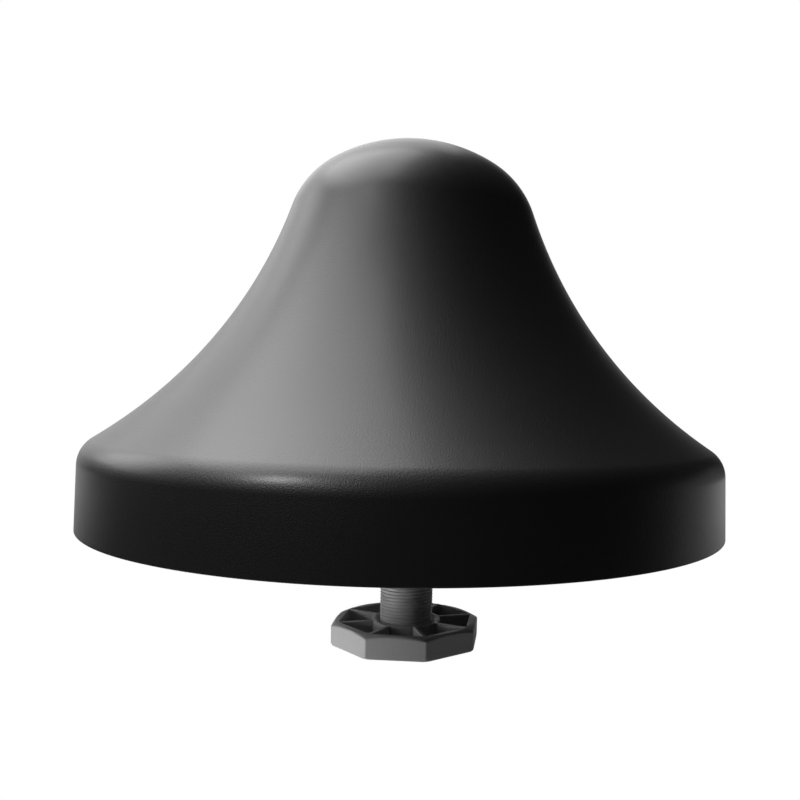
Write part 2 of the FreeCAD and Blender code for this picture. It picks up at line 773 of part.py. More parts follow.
def make_fasteners():
    make_screws("radome_screws", "boss_circle", "sink_depth", True, "radome_screw_length", "boss_count")
    make_screws("ground_plate_screws", "post_circle", "ground_top", False,
                "(post_screw_length + ground_sheet)", "boss_count", "post_angle")
    make_screws("standoff_lower_screws", "stay_circle", "seat", True,
                "(standoff_screw_length + ground_sheet)", "3", "standoff_angle")
    make_screws("standoff_upper_screws", "stay_circle", "cap_top", False,
                "(standoff_screw_length + cone_sheet + cap_sheet)", "3", "standoff_angle")
    make_rivets("strap_top_rivets", "stay_circle", "strap_top", "cone_top", "strap_angle")
    make_rivets("strap_foot_rivets", "foot_circle", "foot_top", "seat", "strap_angle")


def check_and_write():
    """Stop at anything that failed, then write each body to its own file."""
    doc.recompute()
    for item in doc.Objects:
        if "Invalid" in item.State or "Error" in item.State:
            raise RuntimeError(f"{item.Name} failed: {item.State}")
    os.makedirs("parts", exist_ok=True)
    bodies = [item for item in doc.Objects if item.TypeId == "PartDesign::Body"]
    for body in bodies:
        shape = body.Shape
        if shape.isNull() or not shape.isValid() or not shape.Solids:
            raise RuntimeError(f"{body.Label} has no valid solid")
        shape.exportStep(f"parts/{body.Label}.step")
        size = shape.BoundBox
        print(f"{body.Label:24s} solids {len(shape.Solids)}  volume {shape.Volume / 1000:8.2f} cm3"
              f"  z {size.ZMin:7.2f} to {size.ZMax:7.2f}")


make_radome()
make_base_plate()
make_stud()
make_nut()
make_ground_plate()
make_feed()
make_radiator()
for place in range(3):
    make_standoff(f"standoff_{place + 1}", f"standoff_angle + {120 * place}")
    make_strap(f"shorting_strap_{place + 1}", f"strap_angle + {120 * place}")
make_fasteners()
check_and_write()
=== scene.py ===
"""Dressed model of a dome ceiling antenna: bell radome, threaded stud, hand nut and the metalwork inside.

Metres, +Z up into the dome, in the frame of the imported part. The origin is the centre of the ceiling face.
"""

import math

import bpy
import numpy as np
from bpy.props import FloatProperty, FloatVectorProperty, PointerProperty
from mathutils import Euler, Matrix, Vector


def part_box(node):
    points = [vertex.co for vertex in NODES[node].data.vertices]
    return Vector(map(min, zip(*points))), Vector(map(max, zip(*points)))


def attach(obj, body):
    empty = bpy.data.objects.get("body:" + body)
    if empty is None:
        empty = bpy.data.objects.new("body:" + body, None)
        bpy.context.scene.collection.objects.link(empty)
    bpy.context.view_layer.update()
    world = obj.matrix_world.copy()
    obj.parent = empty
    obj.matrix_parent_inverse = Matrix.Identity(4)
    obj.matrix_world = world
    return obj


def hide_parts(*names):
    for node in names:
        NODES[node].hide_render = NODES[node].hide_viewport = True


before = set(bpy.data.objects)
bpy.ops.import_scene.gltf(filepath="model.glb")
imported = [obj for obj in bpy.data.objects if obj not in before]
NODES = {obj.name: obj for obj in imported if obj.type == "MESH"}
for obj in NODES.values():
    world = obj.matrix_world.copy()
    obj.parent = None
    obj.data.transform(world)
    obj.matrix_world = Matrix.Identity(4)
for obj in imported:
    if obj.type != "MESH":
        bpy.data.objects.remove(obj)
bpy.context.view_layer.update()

bl_info = {
    "name": "Dome Ceiling Antenna",
    "version": (1, 0, 0),
    "blender": (4, 5, 0),
    "location": "3D View > Sidebar > Antenna",
    "description": "Builds the looks of a dome ceiling antenna round its packed solids",
    "category": "Add Mesh",
}

MM = 0.001
SHARP_ANGLE = math.radians(32)

# Fineness of the meshes: columns round a piece, and points or rows along it
BELL_COLUMNS = 288
BOSS_COLUMNS = 40
STUD_COLUMNS = 216
SECTION_POINTS = {"crown": 28, "side": 20, "flare": 48, "shoulder": 24}
RIM_POINTS = 7
RINGS_OVER_RIM = (10 * MM, 5 * MM, 1 * MM, 0.2 * MM)
THREAD_ROWS = 9
BORE_ROWS = 41
RIB_POINTS = 4
EDGE_POINTS = 5
POCKET_COLUMNS = 10
POCKET_ROWS = (0.3, 0.5, 0.7, 0.85)

# Small breaks at the mouth of the nut's bore
MOUTH_BREAK = 0.08 * MM
MOUTH_LAND = 0.1 * MM


def linear(code):
    """The linear colour of an sRGB hex code such as 8a8a8a."""
    shares = np.array([int(code[i:i + 2], 16) for i in (0, 2, 4)]) / 255
    low, high = shares / 12.92, ((shares + 0.055) / 1.055) ** 2.4
    return tuple(float(value) for value in np.where(shares <= 0.04045, low, high))


def length(name, description, millimetres):
    """A length property with its default in millimetres."""
    return FloatProperty(name=name, description=description, default=millimetres * MM, subtype="DISTANCE",
                         unit="LENGTH", precision=5)


def angle(name, description, degrees):
    """An angle property with its default in degrees."""
    return FloatProperty(name=name, description=description, default=math.radians(degrees), subtype="ANGLE",
                         unit="ROTATION")


def colour(name, description, code):
    """A colour property with its default as an sRGB hex code."""
    return FloatVectorProperty(name=name, description=description, default=linear(code), subtype="COLOR",
                               min=0, max=1)


def power(name, description, watts):
    """A lamp's power in watts."""
    return FloatProperty(name=name, description=description, default=watts, unit="POWER")


def heights(node):
    """Heights of a node's lowest and highest point."""
    low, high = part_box(node)
    return low.z, high.z


class BellSizes(bpy.types.PropertyGroup):
    """Section of the radome."""

    rim_radius: length("Rim radius", "Outer radius at the ceiling face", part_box("radome")[1].x / MM)
    height: length("Height", "From the ceiling face to the apex", heights("radome")[1] / MM)
    band_height: length("Band height", "Upright band round the rim", 17.6)
    band_draft: angle("Band draft", "How far the band leans inwards", 3.2)
    shoulder_radius: length("Shoulder radius", "Round between band and flare", 8.4)
    neck_radius: length("Neck radius", "Where flare turns into crown", 35)
    neck_slope: angle("Neck slope", "Steepness at the neck", 69.8)
    crown_rise: length("Crown rise", "From the neck to the apex", 19.8)
    crown_turn: angle("Crown turn", "How far the flatter top arc turns", 31.3)
    skin: length("Skin", "Wall thickness", 2.5)
    rim_edge: length("Rim edge", "Round on the edges of the rim", 0.35)
    boss_inset: length("Boss inset", "From the rim to the screw bosses", 13)
    boss_radius: length("Boss radius", "Outside of a screw boss", 4)
    boss_foot: length("Boss foot", "Height of a boss's end", 5)
    pilot_radius: length("Pilot radius", "Hole for the screw", 1.55)
    pilot_depth: length("Pilot depth", "Depth of that hole", 12)
    web_foot: length("Web foot", "Lower edge of a boss's web", 8)
    web_head: length("Web head", "Upper edge of a boss's web", 17.1)
    web_width: length("Web width", "Thickness of a boss's web", 1.6)


class StudSizes(bpy.types.PropertyGroup):
    """Hollow threaded stud."""

    crest_radius: length("Crest radius", "Outside of the thread", 8)
    pitch: length("Pitch", "Advance of the thread in a turn", 1)
    depth: length("Thread depth", "From crest to root", 0.4)
    bore: length("Bore", "Radius of the cable bore", 5)
    collar_radius: length("Collar radius", "Plain part under the flange", 8.5)
    collar_length: length("Collar length", "Depth of that plain part", 3)
    shank_radius: length("Shank radius", "Part inside the base plate", 9)
    flats: length("Flange flats", "Hexagonal flange across its flats", 30)
    flange: length("Flange", "Thickness of the hexagonal flange", 4)
    edge: length("Edge", "Break on the edges", 0.4)
    tip_chamfer: length("Tip chamfer", "Lead of the thread at the lower end", 0.8)


class NutSizes(bpy.types.PropertyGroup):
    """Octagonal hand nut."""

    flats: length("Flats", "Across the flats", 43)
    turn: angle("Turn", "Angle of the first corner", 15)
    wall: length("Wall", "Outer wall, across the flat", 2.3)
    floor: length("Floor", "Thickness under the pockets", 3.2)
    rib: length("Rib", "Width of a rib", 1.1)
    hub: length("Hub", "Outer radius of the hub", 10.5)
    bore: length("Bore", "Radius of the bore at the crests of its thread", 8.06)
    groove: length("Groove", "Depth of the thread in the bore", 0.35)
    pitch: length("Pitch", "Advance of the thread in a turn", 1)
    mouth: length("Mouth", "Chamfer of the bore", 1.5)
    crown_radius: length("Crown radius", "Where the top begins to fall", 21)
    crown_slope: angle("Crown slope", "How the top falls towards the corners", 25)
    foot_radius: length("Foot radius", "Where the foot's bevel begins", 22.7)
    corner_round: length("Corner round", "Round on the upright corners", 1.0)
    edge_round: length("Edge round", "Round on the other outer edges", 0.35)
    rib_round: length("Rib round", "Round on ribs and pocket edges", 0.15)
    draft: length("Draft", "How far a pocket's wall leans over its depth", 0.12)
    fillet: length("Fillet", "Round at the foot of a pocket's wall", 0.35)


class Colours(bpy.types.PropertyGroup):
    """Base colours of the finishes."""

    black_abs: colour("Black ABS", "Radome, moulded in colour", "0e0e0f")
    base_abs: colour("Base ABS", "Base plate, moulded in colour", "1a1a1b")
    grey_nylon: colour("Grey nylon", "Stud and nut", "b4b4b4")
    aluminium: colour("Aluminium", "Rolled and spun sheet", "d4d6d8")
    rivet: colour("Rivet aluminium", "Pulled rivets", "cfd1d3")
    brass: colour("Brass", "Turned feed parts", "c9a45c")
    ptfe: colour("PTFE", "Insulator", "efefec")
    natural_nylon: colour("Natural nylon", "Standoffs", "dcd6c2")
    zinc: colour("Zinc plate", "Screws", "b9bec6")


class StageSettings(bpy.types.PropertyGroup):
    """Camera, floor and lamps."""

    camera_y: length("Camera distance", "Place of the camera in front of the axis", -269.4)
    camera_z: length("Camera height", "Height of the camera over the ceiling face", 41.1)
    pitch: angle("Pitch", "Camera tilted down", 6.559)
    yaw: angle("Yaw", "Camera turned to the right", 3.999)
    roll: angle("Roll", "Picture turned clockwise", 1.573)
    lens: FloatProperty(name="Lens", description="Focal length on a 36 mm sensor", default=40.21,
                        unit="CAMERA")
    shift_x: FloatProperty(name="Shift X", description="Sideways framing of the photograph", default=-0.0883)
    shift_y: FloatProperty(name="Shift Y", description="Upward framing of the photograph", default=0.1091)
    floor_drop: length("Floor drop", "Depth of the floor under the ceiling face", 450)
    floor_size: length("Floor size", "Side of the square floor", 12000)
    key: power("Key softbox", "Power of the large softbox high on the left", 9.0)
    back: power("Back softbox", "Power of the softbox behind on the left", 5.0)
    side: power("Side softbox", "Power of the softbox low on the left", 2.2)
    front: power("Front softbox", "Power of the small softbox in front on the left", 1.3)
    low: power("Low softbox", "Power of the small softbox under the left side", 0.04)
    rim: power("Rim softbox", "Power of the softbox behind on the right", 0.18)
    room: FloatProperty(name="Room light", description="Strength of the even light", default=0.015)


def chosen(group):
    """The sizes or colours chosen in this scene for one group, such as bell or stage."""
    return getattr(bpy.context.scene, f"antenna_{group}")


# Meshes from grids of points

def grid_faces(points, first, close_rows):
    """Vertices and faces of one grid whose columns close into rings.

    Rows run along the profile and columns round it; a row whose points all coincide is a pole with one
    vertex. With close_rows the last row joins the first.
    """
    rows, columns = points.shape[:2]
    pole = np.ptp(points, axis=1).max(axis=1) < 1e-9
    kept = np.ones((rows, columns), bool)
    kept[pole, 1:] = False
    index = np.cumsum(kept.ravel()).reshape(rows, columns) - 1
    index[pole] = index[pole, :1]
    vertices = points.reshape(-1, 3)[kept.ravel()]
    below = np.roll(index, -1, axis=0)
    quads = np.stack([index, below, np.roll(below, -1, axis=1), np.roll(index, -1, axis=1)], axis=2)
    if not close_rows:
        quads = quads[:-1]
    quads = quads.reshape(-1, 4) + first
    start_pole = quads[:, 0] == quads[:, 3]
    end_pole = quads[:, 1] == quads[:, 2]
    faces = quads[~start_pole & ~end_pole].tolist()
    faces += quads[start_pole][:, :3].tolist() + quads[end_pole][:, [0, 1, 3]].tolist()
    return vertices, faces


def add_piece(name, grids, body, material, replaced=()):
    """One object from grids of points given as (points, close_rows), smooth between its sharp edges."""
    vertices, faces, first = [], [], 0
    for points, close_rows in grids:
        block, block_faces = grid_faces(points, first, close_rows)
        vertices.append(block)
        faces += block_faces
        first += len(block)
    mesh = bpy.data.meshes.new(name)
    mesh.from_pydata(np.concatenate(vertices).tolist(), [], faces)
    mesh.polygons.foreach_set("use_smooth", np.ones(len(faces), bool))
    mesh.set_sharp_from_angle(angle=SHARP_ANGLE)
    mesh.materials.append(material)
    mesh.update()
    piece = bpy.data.objects.new(name, mesh)
    bpy.context.scene.collection.objects.link(piece)
    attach(piece, body)
    if replaced:
        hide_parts(*replaced)
    return piece


def dress(nodes, material):
    """Give CAD nodes their finished material."""
    for node in nodes:
        mesh = NODES[node].data
        mesh.materials.clear()
        mesh.materials.append(material)


def arc(centre, radius, start, end, count):
    """Profile points (r, z) on a circle: centre plus radius times (cos, sin) from angle start to end."""
    turn = np.linspace(start, end, count)
    return np.stack([centre[0] + radius * np.cos(turn), centre[1] + radius * np.sin(turn)], axis=1)


def turned(profile, columns, centre=(0, 0)):
    """A profile (r, z) carried round an upright line: x = r cos a, y = r sin a, plus the line's place."""
    around = np.linspace(0, 2 * math.pi, columns, endpoint=False)
    r, z = profile[:, :1], np.repeat(profile[:, 1:], columns, axis=1)
    return np.stack([centre[0] + r * np.cos(around), centre[1] + r * np.sin(around), z], axis=2)


# Radome

def bell_arcs():
    """Centre and radius of each of the bell's arcs, from its heights, slopes and end points.

    Crown and side share their tangent where the crown has turned, and reach the neck together, which gives
    two equations for their radii. The flare is tangent to the side at the neck and to the shoulder's circle.
    """
    size = chosen("bell")
    slope, turn, draft = size.neck_slope, size.crown_turn, size.band_draft
    crown_run, crown_fall = math.sin(turn), 1 - math.cos(turn)
    side_run, side_fall = math.sin(slope) - math.sin(turn), math.cos(turn) - math.cos(slope)
    share = crown_run * side_fall - side_run * crown_fall
    crown = (size.neck_radius * side_fall - size.crown_rise * side_run) / share
    side = (size.crown_rise * crown_run - size.neck_radius * crown_fall) / share
    neck = Vector((size.neck_radius, size.height - size.crown_rise))
    shoulder = Vector((
        size.rim_radius - size.band_height * math.tan(draft) - size.shoulder_radius * math.cos(draft),
        size.band_height - size.shoulder_radius * math.sin(draft),
    ))
    outwards = Vector((math.sin(slope), math.cos(slope)))
    span = neck - shoulder
    reach = size.shoulder_radius - span.dot(outwards)
    flare = (span.length_squared - size.shoulder_radius ** 2) / (2 * reach)
    return {
        "crown": (Vector((0, size.height - crown)), crown),
        "side": (neck - outwards * side, side),
        "flare": (neck + outwards * flare, flare),
        "shoulder": (shoulder, size.shoulder_radius),
    }


def bell_profile(inset):
    """Section of the bell from its apex to the top of its band, inset by a wall: four arcs in a row."""
    size, arcs = chosen("bell"), bell_arcs()
    upright = math.pi / 2
    turned_by, neck = upright - size.crown_turn, upright - size.neck_slope
    to_shoulder = arcs["flare"][0] - arcs["shoulder"][0]
    meeting = math.atan2(to_shoulder.y, to_shoulder.x)
    spans = {
        "crown": (-inset, upright, turned_by),
        "side": (-inset, turned_by, neck),
        "flare": (inset, math.pi + neck, math.pi + meeting),
        "shoulder": (-inset, meeting, size.band_draft),
    }
    runs = [arc(arcs[name][0], arcs[name][1] + grown, start, end, SECTION_POINTS[name])
            for name, (grown, start, end) in spans.items()]
    return np.concatenate([runs[0]] + [run[1:] for run in runs[1:]])


def band_foot(inset, side):
    """Foot of the band with its rounded edge: side is 1 for the outer face and -1 for the inner one."""
    size = chosen("bell")
    draft, edge = size.band_draft, size.rim_edge
    face = size.rim_radius * math.cos(draft) - inset
    centre = ((face - side * edge - edge * math.sin(draft)) / math.cos(draft), edge)
    start = draft if side > 0 else math.pi + draft
    end = -math.pi / 2 if side > 0 else 3 * math.pi / 2
    round_edge = arc(centre, edge, start, end, RIM_POINTS)
    up = np.array([-math.sin(draft), math.cos(draft)])
    lead = [round_edge[0] + up * rise for rise in RINGS_OVER_RIM]
    return np.concatenate([lead, round_edge])


def boss_grid(bearing):
    """A screw boss at a bearing round the axis: a turned post with a blind hole, its top inside the flare."""
    size, (centre, flare) = chosen("bell"), bell_arcs()["flare"]
    ring, hole = size.rim_radius - size.boss_inset, size.pilot_radius
    hole_top = size.boss_foot + size.pilot_depth
    profile = np.array([
        (0, 0), (size.boss_radius / 2, 0), (size.boss_radius, 0), (size.boss_radius, size.boss_foot),
        (hole, size.boss_foot), (hole, hole_top - hole / 2), (0, hole_top),
    ])
    grid = turned(profile, BOSS_COLUMNS, (ring * math.cos(bearing), ring * math.sin(bearing)))
    reach = np.hypot(grid[:3, :, 0], grid[:3, :, 1])
    grid[:3, :, 2] = centre.y - np.sqrt((flare + size.skin / 2) ** 2 - (centre.x - reach) ** 2)
    return grid


def web_grid(bearing):
    """The web from a boss to the band: a flat bar with both ends closed."""
    size = chosen("bell")
    near, far = size.rim_radius - size.boss_inset + size.boss_radius / 2, size.rim_radius - size.skin
    half = size.web_width / 2
    corners = np.array([(-half, size.web_head), (half, size.web_head), (half, size.web_foot),
                        (-half, size.web_foot)])
    middle = corners.mean(axis=0)
    rows = [(near, np.tile(middle, (4, 1))), (near, corners), (far, corners), (far, np.tile(middle, (4, 1)))]
    along = np.array((math.cos(bearing), math.sin(bearing)))
    across = np.array((-math.sin(bearing), math.cos(bearing)))
    return np.array([
        [(*(along * reach + across * side), height) for side, height in section] for reach, section in rows
    ])


class ANTENNA_OT_radome(bpy.types.Operator):
    """Thin moulded bell with an upright band, screw bosses and webs"""

    bl_idname = "antenna.radome"
    bl_label = "Radome"

    def execute(self, context):
        outside = np.concatenate([bell_profile(0), band_foot(0, 1)])
        inside = np.concatenate([bell_profile(chosen("bell").skin), band_foot(chosen("bell").skin, -1)])
        shell = np.concatenate([outside, inside[::-1]])
        grids = [(turned(shell, BELL_COLUMNS), False)]
        for quarter in range(4):
            bearing = quarter * math.pi / 2
            grids += [(boss_grid(bearing), False), (web_grid(bearing), False)]
        add_piece("radome_shell", grids, "antenna", black_abs(), ("radome",))
        return {"FINISHED"}


class ANTENNA_OT_base_plate(bpy.types.Operator):
    """Moulded base plate inside the rim"""

    bl_idname = "antenna.base_plate"
    bl_label = "Base plate"

    def execute(self, context):
        dress(["base_plate"], base_abs())
        return {"FINISHED"}


# Stud

def hexagon(around, flats):
    """Distance from the axis to a hexagon's side, whose first corner is at angle 0."""
    return flats / 2 / np.cos(np.mod(around, math.pi / 3) - math.pi / 6)


def thread_groove(phase):
    """Depth of a rounded thread, 0 at its crest and 1 at its root, over one turn of phase.

    It is a cosine wave, stretched by a quarter and cut off at both ends, so crest and root have small flats.
    """
    wave = 0.5 - 0.5 * np.cos(2 * math.pi * phase)
    return np.clip(1.25 * wave - 0.05, 0, 1)


def stud_grid():
    """Skin of the stud: rows down the outside and back up the bore, columns round it.

    Down the thread r = crest - depth * groove(z / pitch - a / turn), which is a right-hand helix, faded out
    over one pitch under the collar and cut back by the cone of the tip.
    """
    size = chosen("stud")
    tip, seat = heights("stud")
    around = np.linspace(0, 2 * math.pi, STUD_COLUMNS, endpoint=False)
    flat, edge = hexagon(around, size.flats), size.edge
    ring = np.ones_like(around)
    neck = -size.collar_length
    under = seat - size.flange
    thread_z = np.linspace(neck - 0.1 * MM, tip, round((neck - tip) / size.pitch * THREAD_ROWS))[:, None]
    groove = thread_groove(thread_z / size.pitch - around / (2 * math.pi))
    fade = np.clip((neck - thread_z) / size.pitch - 0.3, 0, 1)
    thread = size.crest_radius - size.depth * groove * fade
    cone = size.crest_radius - size.tip_chamfer + (thread_z - tip)
    thread = np.minimum(thread, cone)
    above = [
        (size.bore * ring, seat - edge), ((size.bore + edge) * ring, seat),
        (flat - edge, seat), (flat - edge / 3, seat - edge / 3),
        (flat, seat - edge), (flat, under + edge / 2),
        (flat - edge / 2, under), (size.shank_radius * ring, under), (size.shank_radius * ring, 0.0),
        ((size.collar_radius - edge / 4) * ring, 0.0), (size.collar_radius * ring, -edge / 2),
        (size.collar_radius * ring, neck + edge), ((size.collar_radius - edge / 2) * ring, neck),
        (size.crest_radius * ring, neck),
    ]
    below = [((size.bore + edge) * ring, tip), (size.bore * ring, tip + edge)]
    radius = np.concatenate([[r for r, _ in above], thread, [r for r, _ in below]])
    height = np.concatenate([[z for _, z in above], thread_z[:, 0], [z for _, z in below]])
    return np.stack([radius * np.cos(around), radius * np.sin(around),
                     np.repeat(height[:, None], len(around), axis=1)], axis=2)


class ANTENNA_OT_stud(bpy.types.Operator):
    """Hollow stud with its fine thread"""

    bl_idname = "antenna.stud"
    bl_label = "Stud"

    def execute(self, context):
        add_piece("threaded_stud", [(stud_grid(), True)], "antenna", grey_nylon("stud"),
                  ("stud",))
        return {"FINISHED"}


# Nut

def octagon(off, flat, corner_round):
    """Distance to a side of an octagon at an angle off its corner (0 to 45 degrees), corners rounded.

    On the flat it is apothem / cos(angle off the flat's middle); within a corner's round it is where the
    ray meets the corner's circle.
    """
    eighth = math.pi / 8
    off_middle = off - eighth
    side = flat / np.cos(off_middle)
    centre = (flat - corner_round) / math.cos(eighth)
    tangent = math.atan((flat - corner_round) * math.tan(eighth) / flat)
    off_corner = eighth - np.abs(off_middle)
    inside = np.maximum(corner_round ** 2 - (centre * np.sin(off_corner)) ** 2, 0)
    rounded = centre * np.cos(off_corner) + np.sqrt(inside)
    return np.where(np.abs(off_middle) > tangent, rounded, side)


def rib_stations(size):
    """Distances from a rib's centre line, and the share of the pocket's depth reached at each.

    The columns run over the rib's flat top, down its round, and out over the fillet at the pocket's floor.
    """
    half, round_, fillet = size.rib / 2, size.rib_round, size.fillet
    quarter = np.linspace(0, math.pi / 2, RIB_POINTS)
    top = half - round_ + round_ * np.sin(quarter)
    depth = pocket_depth(size)
    top_share = round_ * (1 - np.cos(quarter)) / depth
    foot = half + size.draft + fillet * (1 - np.cos(quarter))
    foot_share = 1 - fillet * (1 - np.sin(quarter)) / depth
    distance = np.concatenate([[0, half * 0.45], top, foot])
    return distance, np.concatenate([[0, 0], top_share, foot_share])


def pocket_depth(size):
    """Depth of the pockets under the top of the nut."""
    bottom, top = heights("nut")
    return top - bottom - size.floor


def sector_columns(size, radius):
    """Angles off a corner for the columns of one sector at a radius, with each column's share of depth.

    Columns keep their distance from the rib that they border, so ribs have one width all along; between
    them the angles are evenly spread.
    """
    distance, share = rib_stations(size)
    low = np.arcsin(np.clip(distance / radius, 0, 0.6))
    high = math.pi / 4 - low[::-1]
    middle = low[-1] + (high[0] - low[-1]) * np.linspace(0, 1, POCKET_COLUMNS + 2)[1:-1]
    columns = np.concatenate([low, middle, high[:-1]])
    shares = np.concatenate([share, np.ones(POCKET_COLUMNS), share[::-1][:-1]])
    return columns, shares


def quarter_round(count):
    """Sine and cosine at each row of a round that turns through a quarter."""
    turn = np.linspace(0, math.pi / 2, count)
    return list(zip(np.sin(turn), np.cos(turn)))


def nut_rows(size):
    """Rows of the nut's skin as (radius, octagon share, height, pocket share), up the bore and over the top.

    The octagon share is 0 where the row is a circle of that radius and 1 where it is an octagon of that
    apothem. Height is measured over the nut's bottom. The bore's rows are the first.
    """
    bottom, top = heights("nut")
    high, flat, edge = top - bottom, size.flats / 2, size.edge_round
    mouth, wall, hub = size.bore + size.mouth, flat - size.wall, size.hub
    round_, fillet, draft, depth = size.rib_round, size.fillet, size.draft, pocket_depth(size)
    down, over = quarter_round(RIB_POINTS), quarter_round(EDGE_POINTS)
    up = down[::-1]
    rows = [(size.bore, 0, z, 0) for z in np.linspace(size.mouth, high - size.mouth, BORE_ROWS)]
    rows += [(mouth - MOUTH_BREAK, 0, high - MOUTH_BREAK, 0), (mouth, 0, high - MOUTH_BREAK / 4, 0)]
    rows += [(mouth + MOUTH_LAND, 0, high, 0)]
    rows += [(hub - round_ + round_ * s, 0, high, round_ * (1 - c) / depth) for s, c in down]
    rows += [(hub + draft + fillet * (1 - c), 0, high, 1 - fillet * (1 - s) / depth) for s, c in down]
    rows += [(hub + (wall - hub) * share, share, high, 1) for share in POCKET_ROWS]
    rows += [(wall - draft - fillet * (1 - c), 1, high, 1 - fillet * (1 - s) / depth) for s, c in up]
    rows += [(wall + round_ - round_ * s, 1, high, round_ * (1 - c) / depth) for s, c in up]
    rows += [((wall + flat) / 2, 1, high, 0), (flat - 1.5 * edge, 1, high, 0)]
    rows += [(flat - edge + edge * s, 1, high - edge * (1 - c), 0) for s, c in over]
    rows += [(flat, 1, high - 1.5 * edge, 0), (flat, 1, high / 2, 0), (flat, 1, 1.5 * edge, 0)]
    rows += [(flat - edge + edge * c, 1, edge * (1 - s), 0) for s, c in over]
    rows += [(flat - 1.5 * edge, 1, 0, 0), (flat * 0.8, 1, 0, 0), (mouth + 2 * MM, 0, 0, 0)]
    rows += [(mouth + MOUTH_LAND, 0, 0, 0), (mouth, 0, MOUTH_BREAK / 4, 0)]
    rows += [(mouth - MOUTH_BREAK, 0, MOUTH_BREAK, 0)]
    return np.array(rows, float)


def nut_grid():
    """Skin of the nut, closed both ways: rows from nut_rows, columns from sector_columns for eight sectors.

    The bore's r = bore + groove * thread(z / pitch - a / turn). The top falls by tan(slope) outside the
    crown radius and the foot rises by 45 degrees outside the foot radius, on each point's own radius.
    """
    size = chosen("nut")
    bottom, rows = heights("nut")[0], nut_rows(size)
    high = rows[:, 2].max()
    depth = pocket_depth(size)
    grid = []
    for index, (radius, squareness, height, pocket) in enumerate(rows):
        off, share = sector_columns(size, radius)
        reach = (1 - squareness) * radius + squareness * octagon(off, radius, size.corner_round)
        around = (size.turn + off[None, :] + np.arange(8)[:, None] * math.pi / 4).ravel()
        reach, share = np.tile(reach, 8), np.tile(share, 8)
        level = np.full_like(reach, height)
        if index < BORE_ROWS:
            fade = min(1, (BORE_ROWS - 1 - index) / 4, index / 4)
            phase = (bottom + height) / size.pitch - around / (2 * math.pi)
            reach = reach + size.groove * fade * thread_groove(phase + 0.5)
        elif height > high / 2:
            level -= np.maximum(reach - size.crown_radius, 0) * math.tan(size.crown_slope)
            level -= depth * share * pocket
        else:
            level += np.maximum(reach - size.foot_radius, 0)
        grid.append(np.stack([reach * np.cos(around), reach * np.sin(around), bottom + level], axis=1))
    return np.array(grid)


class ANTENNA_OT_nut(bpy.types.Operator):
    """Octagonal hand nut with pockets, thin ribs and a threaded hub"""

    bl_idname = "antenna.nut"
    bl_label = "Hand nut"

    def execute(self, context):
        add_piece("hand_nut", [(nut_grid(), True)], "nut_body", grey_nylon("nut"), ("nut",))
        return {"FINISHED"}


class ANTENNA_OT_metalwork(bpy.types.Operator):
    """Ground plate, radiator, straps, feed and fasteners inside the bell"""

    bl_idname = "antenna.metalwork"
    bl_label = "Inner metalwork"

    def execute(self, context):
        dress(["ground_plate", "shorting_strap_1", "shorting_strap_2", "shorting_strap_3"],
              rolled_aluminium())
        dress(["radiator_cone", "radiator_cap"], spun_aluminium())
        dress(["feed_bush", "feed_pin", "feed_nut"], turned_brass())
        dress(["feed_insulator"], turned_ptfe())
        dress(["standoff_1", "standoff_2", "standoff_3"], natural_nylon())
        dress(["radome_screws", "ground_plate_screws", "standoff_lower_screws", "standoff_upper_screws"],
              zinc_plate())
        dress(["strap_top_rivets", "strap_foot_rivets"], rivet_aluminium())
        return {"FINISHED"}


# Materials

# Shares of the colour at the darkest and lightest spots of a pattern
PLASTIC_TONES = (0.92, 1.08)
METAL_TONES = (0.93, 1.05)
# Size of the clouds in the gloss of a moulded face
GLOSS_PATCH = 45 * MM
COAT_ROUGHNESS = 0.26


def add_node(tree, kind, values=None, links=None, **settings):
    """Add a node with its own settings, the values of its inputs and the sockets that feed them."""
    node = tree.nodes.new(kind)
    for key, value in settings.items():
        setattr(node, key, value)
    for key, value in (values or {}).items():
        node.inputs[key].default_value = value
    for key, socket in (links or {}).items():
        tree.links.new(socket, node.inputs[key])
    return node


def new_material(name):
    """A material with an empty tree, its Object coordinates and its principled shader."""
    material = bpy.data.materials.new(name)
    material.use_nodes = True
    tree = material.node_tree
    tree.nodes.clear()
    place = add_node(tree, "ShaderNodeTexCoord").outputs["Object"]
    surface = add_node(tree, "ShaderNodeBsdfPrincipled")
    add_node(tree, "ShaderNodeOutputMaterial", links={"Surface": surface.outputs["BSDF"]})
    return material, tree, place, surface


def wire_finish(tree, surface, rgb, tone, gloss, relief):
    """Feed the shader: tone and relief from one pattern, gloss from the same or another.

    Tone and gloss are each (pattern, lowest, highest): the first multiplies the colour, the second is the
    roughness.
    """
    pattern, darkest, lightest = tone
    cloud, smoothest, roughest = gloss
    gloss_map = add_node(tree, "ShaderNodeMapRange", {"To Min": smoothest, "To Max": roughest},
                         {"Value": cloud})
    tone_map = add_node(tree, "ShaderNodeMapRange", {"To Min": darkest, "To Max": lightest},
                        {"Value": pattern})
    shade = add_node(tree, "ShaderNodeMix", {0: 1.0, 6: (*rgb, 1)}, {7: tone_map.outputs["Result"]},
                     data_type="RGBA", blend_type="MULTIPLY")
    bump = add_node(tree, "ShaderNodeBump", {"Strength": 1.0, "Distance": relief}, {"Height": pattern})
    tree.links.new(shade.outputs[2], surface.inputs["Base Color"])
    tree.links.new(gloss_map.outputs["Result"], surface.inputs["Roughness"])
    tree.links.new(bump.outputs["Normal"], surface.inputs["Normal"])


